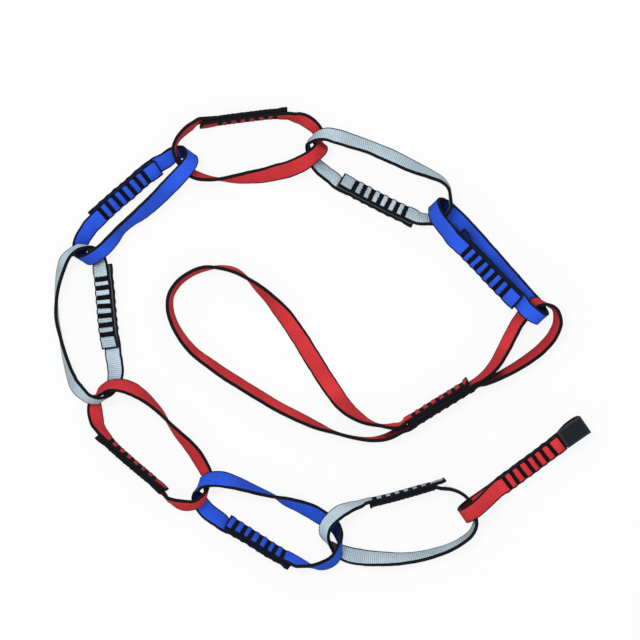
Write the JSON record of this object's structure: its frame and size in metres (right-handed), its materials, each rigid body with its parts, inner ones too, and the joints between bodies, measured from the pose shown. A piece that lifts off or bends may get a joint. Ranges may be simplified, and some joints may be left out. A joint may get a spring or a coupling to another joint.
{
  "type": "climbing daisy chain",
  "caption": "Climbing daisy chain of interlinked sewn webbing slings, with a long girth-hitch sling at one end and a labelled clip-in eye at the other.",
  "frame": {"origin": "centre of the laid-out chain's bounding box, on the flat surface that it lies on", "axes": "+X to the right and +Y up in a top view like the picture, +Z up from the surface"},
  "size_m": [0.3982, 0.342, 0.025],
  "materials": {
    "red_webbing": "woven nylon or polyester tape, matt, with black selvedges",
    "blue_webbing": "woven nylon or polyester tape, matt, with black selvedges",
    "grey_webbing": "woven nylon or polyester tape, matt, with black selvedges",
    "black_thread": "dense zigzag stitching, satin",
    "black_tape": "thin smooth tape, bare"
  },
  "bodies": {
    "girth_sling": {"girth_sling": "red_webbing"},
    "sling_1": {"sling_1": "blue_webbing", "sling_1_tack_1": "black_thread", "sling_1_tack_2": "black_thread", "sling_1_tack_3": "black_thread", "sling_1_tack_4": "black_thread", "sling_1_tack_5": "black_thread", "sling_1_tack_6": "black_thread", "sling_1_tack_7": "black_thread"},
    "sling_2": {"sling_2": "grey_webbing", "sling_2_tack_1": "black_thread", "sling_2_tack_2": "black_thread", "sling_2_tack_3": "black_thread", "sling_2_tack_4": "black_thread", "sling_2_tack_5": "black_thread", "sling_2_tack_6": "black_thread", "sling_2_tack_7": "black_thread"},
    "sling_3": {"sling_3": "red_webbing", "sling_3_tack_1": "black_thread", "sling_3_tack_2": "black_thread", "sling_3_tack_3": "black_thread", "sling_3_tack_4": "black_thread", "sling_3_tack_5": "black_thread", "sling_3_tack_6": "black_thread", "sling_3_tack_7": "black_thread"},
    "sling_4": {"sling_4": "blue_webbing", "sling_4_tack_1": "black_thread", "sling_4_tack_2": "black_thread", "sling_4_tack_3": "black_thread", "sling_4_tack_4": "black_thread", "sling_4_tack_5": "black_thread", "sling_4_tack_6": "black_thread", "sling_4_tack_7": "black_thread"},
    "sling_5": {"sling_5": "grey_webbing", "sling_5_tack_1": "black_thread", "sling_5_tack_2": "black_thread", "sling_5_tack_3": "black_thread", "sling_5_tack_4": "black_thread", "sling_5_tack_5": "black_thread", "sling_5_tack_6": "black_thread", "sling_5_tack_7": "black_thread"},
    "sling_6": {"sling_6": "red_webbing", "sling_6_tack_1": "black_thread", "sling_6_tack_2": "black_thread", "sling_6_tack_3": "black_thread", "sling_6_tack_4": "black_thread", "sling_6_tack_5": "black_thread", "sling_6_tack_6": "black_thread", "sling_6_tack_7": "black_thread"},
    "sling_7": {"sling_7": "blue_webbing", "sling_7_tack_1": "black_thread", "sling_7_tack_2": "black_thread", "sling_7_tack_3": "black_thread", "sling_7_tack_4": "black_thread", "sling_7_tack_5": "black_thread", "sling_7_tack_6": "black_thread", "sling_7_tack_7": "black_thread"},
    "sling_8": {"sling_8": "grey_webbing"},
    "end_sling": {"end_sling": "red_webbing", "end_label": "black_tape"}
  },
  "joints": [
    {"name": "eye_1_swing", "type": "hinge", "parent": "girth_sling", "child": "sling_1", "pos_m": [0.16064, 0.02571, 0.008], "axis": [0, 0, 1], "range_deg": [-10, 10]},
    {"name": "eye_2_swing", "type": "hinge", "parent": "sling_1", "child": "sling_2", "pos_m": [0.0915, 0.09782, 0.008], "axis": [0, 0, -1], "range_deg": [-10, 10]},
    {"name": "eye_3_swing", "type": "hinge", "parent": "sling_2", "child": "sling_3", "pos_m": [-0.00513, 0.14308, 0.008], "axis": [0, 0, 1], "range_deg": [-10, 10]},
    {"name": "eye_4_swing", "type": "hinge", "parent": "sling_3", "child": "sling_4", "pos_m": [-0.10539, 0.13484, 0.008], "axis": [0, 0, -1], "range_deg": [-10, 10]},
    {"name": "eye_5_swing", "type": "hinge", "parent": "sling_4", "child": "sling_5", "pos_m": [-0.17447, 0.06575, 0.008], "axis": [0, 0, 1], "range_deg": [-10, 10]},
    {"name": "eye_6_swing", "type": "hinge", "parent": "sling_5", "child": "sling_6", "pos_m": [-0.16189, -0.0398, 0.008], "axis": [0, 0, -1], "range_deg": [-10, 10]},
    {"name": "eye_7_swing", "type": "hinge", "parent": "sling_6", "child": "sling_7", "pos_m": [-0.08981, -0.11112, 0.008], "axis": [0, 0, 1], "range_deg": [-9, 10]},
    {"name": "eye_8_swing", "type": "hinge", "parent": "sling_7", "child": "sling_8", "pos_m": [0.00753, -0.1483, 0.008], "axis": [0, 0, -1], "range_deg": [-6, 10]},
    {"name": "eye_9_swing", "type": "hinge", "parent": "sling_8", "child": "end_sling", "pos_m": [0.10637, -0.1231, 0.008], "axis": [0, 0, 1], "range_deg": [-10, 10]}
  ]
}
